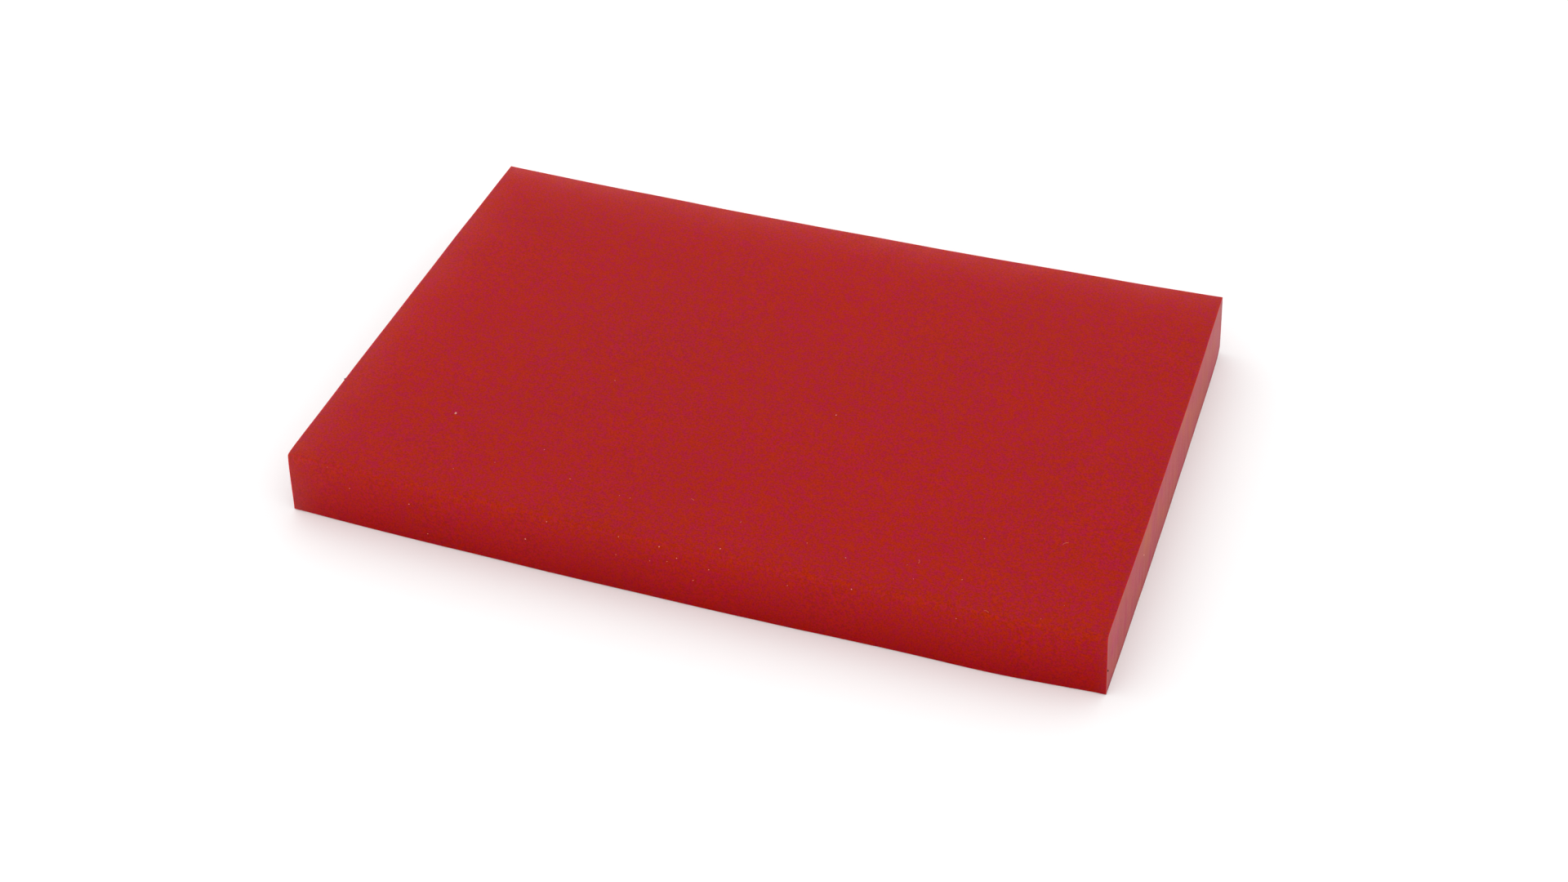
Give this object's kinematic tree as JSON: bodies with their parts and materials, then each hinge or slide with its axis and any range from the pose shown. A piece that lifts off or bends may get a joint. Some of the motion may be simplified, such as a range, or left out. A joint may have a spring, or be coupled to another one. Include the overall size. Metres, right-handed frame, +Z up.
{
  "type": "clay bar",
  "caption": "Flat rectangular slab of red plastic clay, with long sides left by the die and two sharp cut ends, kneaded and rubbed over wet paint or glass to lift grit.",
  "frame": {"origin": "centre of the bounding box's bottom face, on the surface that the slab rests on", "axes": "+X along the length, between the two cut ends; +Y across the width, towards the back long side; +Z up through the thickness"},
  "size_m": [0.1004, 0.0666, 0.0088],
  "materials": {
    "clay": "soft satin skin on the long faces, drier and paler on the two cut ends"
  },
  "bodies": {
    "root": {"clay_bar": "clay"}
  },
  "joints": []
}
